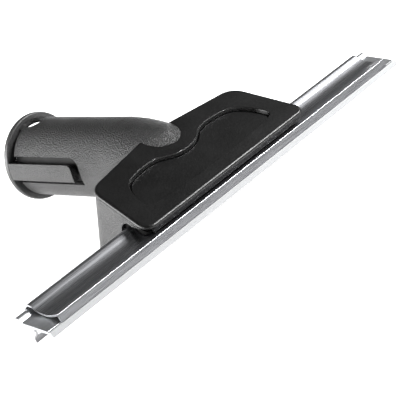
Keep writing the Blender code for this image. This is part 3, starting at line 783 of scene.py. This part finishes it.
def recess_cutter():
    steps = [(0.5, 5.0), (0.5, 0.05), (0.28, -0.06), (0.1, -0.22), (0.0, -0.5), (-0.45, -2.7),
             (-0.6, -3.0), (-0.85, -RECESS_DEPTH)]
    return loft("recess", [level(recess(g), z) for g, z in steps], COVER)


cover = loft("cover_plate", cover_rings(), COVER)
pan = loft("pan", [level(recess(1.6), -PAN_DEPTH), level(recess(1.6), -COVER_SKIN + 0.5)], COVER)
skirt = loft("skirt", [level([(-59.8, 0.9), (59.8, 0.9), (59.2, 2.8), (-59.2, 2.8)], z)
                       for z in (-4.6, -1.6)], COVER)
bosses = [column("boss", 3.2, -9.6, -1.0, (side * COVER_SCREW[0], COVER_SCREW[1]), COVER)
          for side in (-1, 1)]
boolean(cover, "UNION", pan, skirt, *bosses)
notch_tip = [(NOSE[-1][0] - 0.15, *NOSE[-1][1:])]
notch = loft("notch", [around(TUBE_RADIUS + 0.12, -60.0)] + nose_rings(0.12, NOSE[:-1] + notch_tip))
boolean(cover, "DIFFERENCE", recess_cutter(), notch)
finish(cover, SATIN, "head", "cover_plastic", "top_cover")
to_cover = COVER.inverted()


def is_recess_wall(face):
    """True on the steep side of the recess, which a polished steel insert moulds."""
    spot = to_cover @ face.center / MM
    steep = abs((to_cover.to_3x3() @ face.normal).z) < 0.8
    return steep and -RECESS_DEPTH < spot.z < -0.1 and abs(spot.x) < 50.5 and 8.0 < spot.y < 37.0


paint(cover, GLOSS, is_recess_wall)

# %% Panel
steps = [(-GROOVE - 0.1, -RECESS_DEPTH + 0.25), (-GROOVE, -INLAY_SINK - 0.35),
         (-GROOVE - 0.1, -INLAY_SINK - 0.1), (-GROOVE - 0.35, -INLAY_SINK)]
panel = loft("cover_panel", [level(recess(g), z) for g, z in steps], COVER)
finish(panel, PANEL, "head", "inlay_plastic", "cover_inlay")

# %% [markdown]
# ## Screws
# Four screws clamp the jaw and two hold the cover. They differ only in size, so one node tree
# makes a socket-head screw and sets a copy on every point it is given.

# %% The screw tree


def screw_tree():
    tree = bpy.data.node_groups.new("socket_screws", "GeometryNodeTree")
    face = tree.interface
    face.new_socket("Places", in_out="INPUT", socket_type="NodeSocketGeometry")
    for label in ("Head Radius", "Head Height", "Shank Radius", "Shank Length"):
        face.new_socket(label, in_out="INPUT", socket_type="NodeSocketFloat")
    face.new_socket("Finish", in_out="INPUT", socket_type="NodeSocketMaterial")
    face.new_socket("Screws", in_out="OUTPUT", socket_type="NodeSocketGeometry")
    given = node(tree, "NodeGroupInput").outputs

    def scaled(source, factor):
        product = node(tree, "ShaderNodeMath", [(0, source), (1, factor)], operation="MULTIPLY")
        return product.outputs[0]

    def barrel(sides, radius, depth, shift):
        made = node(tree, "GeometryNodeMeshCylinder", [("Vertices", sides), ("Radius", radius),
                                                       ("Depth", depth)])
        along = node(tree, "ShaderNodeCombineXYZ", [("Z", shift)])
        moved = node(tree, "GeometryNodeTransform", [("Geometry", made.outputs["Mesh"]),
                                                     ("Translation", along.outputs[0])])
        return moved.outputs[0]

    cap = barrel(32, given["Head Radius"], given["Head Height"], scaled(given["Head Height"], -0.5))
    key = barrel(6, scaled(given["Head Radius"], 0.42), given["Head Height"],
                 scaled(given["Head Height"], -0.95))
    cut = node(tree, "GeometryNodeMeshBoolean", [("Mesh 1", cap), ("Mesh 2", key)],
               operation="DIFFERENCE")
    shank = barrel(24, given["Shank Radius"], given["Shank Length"],
                   scaled(given["Shank Length"], 0.5))
    whole = node(tree, "GeometryNodeMeshBoolean", operation="UNION")
    tree.links.new(cut.outputs[0], whole.inputs["Mesh 2"])
    tree.links.new(shank, whole.inputs["Mesh 2"])
    copies = node(tree, "GeometryNodeInstanceOnPoints", [("Points", given["Places"]),
                                                         ("Instance", whole.outputs[0])])
    real = node(tree, "GeometryNodeRealizeInstances", [("Geometry", copies.outputs[0])])
    last = node(tree, "GeometryNodeSetMaterial", [("Geometry", real.outputs[0]),
                                                  ("Material", given["Finish"])])
    node(tree, "NodeGroupOutput", [("Screws", last.outputs[0])])
    return tree


SCREWS = screw_tree()


def set_screws(name, places, sizes, to_world, nodes):
    mesh = bpy.data.meshes.new(name)
    mesh.from_pydata([Vector(p) * MM for p in places], [], [])
    piece = bpy.data.objects.new(name, mesh)
    bpy.context.scene.collection.objects.link(piece)
    labels = ("Head Radius", "Head Height", "Shank Radius", "Shank Length")
    grow(piece, SCREWS, Finish=ZINC, **{k: v * MM for k, v in zip(labels, sizes)})
    piece.data.transform(to_world)
    soften(piece, 0.2, 2, 50)
    return finish(piece, ZINC, "head", "screw_steel", *nodes)


# %% Place both sets
CLAMP_Y, CLAMP_SEAT = -122.9, -13.3
clamp_places = [(x, CLAMP_Y, CLAMP_SEAT) for x in (-46.0, -18.0, 18.0, 46.0)]
set_screws("clamp_screws", clamp_places, (3.7, 2.6, 1.9, 8.3), SOCKET,
           ["clamp_screw_%d" % i for i in range(1, 5)])
cover_places = [(side * COVER_SCREW[0], COVER_SCREW[1], -12.6) for side in (-1, 1)]
set_screws("cover_screws", cover_places, (2.7, 2.3, 1.3, 8.7), COVER,
           ["cover_screw_%d" % i for i in range(1, 3)])

# %% [markdown]
# ## Pieces kept from the CAD
# The saddle, the jaw and the brass inserts are plain blocks inside the head, and their CAD shape
# is already right, so they only need a finish.

# %% Finish the kept pieces


def dress(name, mat):
    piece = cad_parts[name]
    piece.data.materials.clear()
    piece.data.materials.append(mat)
    print(name, "is", mat.name)


# The saddle sits between the housing and the rail under the cover, so it gets the darker, duller
# black as painted shade.
dress("rail_saddle", SHADE_BLACK)
dress("clamp_jaw", COARSE)
for number in range(1, 5):
    dress("thread_insert_%d" % number, BRASS)

# %% [markdown]
# ## Floor, light and camera
# Black plastic shows hardly anything of itself: what is seen is the lights. A wide panel low on
# the left does most of the lighting. A narrow bright strip high in front draws the line on the
# cover's edge. Three weak panels fill in the rail's hump, the rail's front and the far slope. The
# sky is white to the camera but dim as a light, which keeps the sloping cover black. The floor
# gives off some light of its own, so that it stays white under the tool.

# %% Floor
floor_mesh = bpy.data.meshes.new("studio_floor")
reach, drop = 4.0, -0.0002
floor_mesh.from_pydata([(-reach, -reach, drop), (reach, -reach, drop), (reach, reach, drop),
                        (-reach, reach, drop)], [], [(0, 1, 2, 3)])
studio_floor = bpy.data.objects.new("studio_floor", floor_mesh)
bpy.context.scene.collection.objects.link(studio_floor)
paper = bpy.data.materials.new("white_paper")
paper.use_nodes = True
paper.node_tree.nodes["Principled BSDF"].inputs["Base Color"].default_value = (0.9, 0.9, 0.9, 1.0)
paper.node_tree.nodes["Principled BSDF"].inputs["Roughness"].default_value = 0.9
paper.node_tree.nodes["Principled BSDF"].inputs["Emission Color"].default_value = (1.0,) * 4
paper.node_tree.nodes["Principled BSDF"].inputs["Emission Strength"].default_value = 0.9
floor_mesh.materials.append(paper)

# %% Lights
middle = Vector((0.0, -0.02, 0.02))


def softbox(name, way, distance, size, power):
    """An area light that looks at the middle of the tool from the given direction."""
    data = bpy.data.lights.new(name, "AREA")
    data.shape, data.size, data.size_y, data.energy = "RECTANGLE", size[0], size[1], power
    light = bpy.data.objects.new(name, data)
    light.location = middle + Vector(way).normalized() * distance
    light.rotation_euler = (middle - light.location).to_track_quat("-Z", "Y").to_euler()
    bpy.context.scene.collection.objects.link(light)


softbox("left_panel", (-1.0, 0.6, 0.2), 0.9, (1.3, 0.5), 32.0)
softbox("edge_strip", (0.61, -0.50, 0.62), 0.9, (0.7, 0.05), 20.0)
softbox("hump_panel", (0.61, -0.12, 0.78), 1.0, (0.5, 0.14), 0.4)
softbox("front_panel", (0.61, -0.80, 0.16), 1.0, (1.0, 0.3), 0.1)
softbox("slope_panel", (0.61, 0.79, 0.1), 1.0, (1.2, 0.3), 0.5)

world = bpy.data.worlds.new("studio")
bpy.context.scene.world = world
world.use_nodes = True
tree = world.node_tree
seen = node(tree, "ShaderNodeLightPath").outputs["Is Camera Ray"]
sky = tree.nodes["Background"]
sky_as_light, sky_as_seen = 0.1, 1.0
strength = node(tree, "ShaderNodeMix", [("Factor", seen), ("A", sky_as_light), ("B", sky_as_seen)])
tree.links.new(strength.outputs[0], sky.inputs["Strength"])
sky.inputs["Color"].default_value = (1.0, 1.0, 1.0, 1.0)

# %% Camera
TILT, ROLL, HEADING = [math.radians(a) for a in (66.9391, 18.4593, -49.0292)]
VIEWPOINT = (-473.78, -655.79, 262.94)
camera_data = bpy.data.cameras.new("camera")
camera_data.lens, camera_data.sensor_width = 134.44, 36.0
camera = bpy.data.objects.new("camera", camera_data)
turned = Euler((TILT, ROLL, HEADING)).to_matrix().to_4x4()
camera.matrix_world = SOCKET @ Matrix.Translation(Vector(VIEWPOINT) * MM) @ turned
bpy.context.scene.collection.objects.link(camera)
bpy.context.scene.camera = camera
bpy.context.scene.view_settings.view_transform = "Standard"
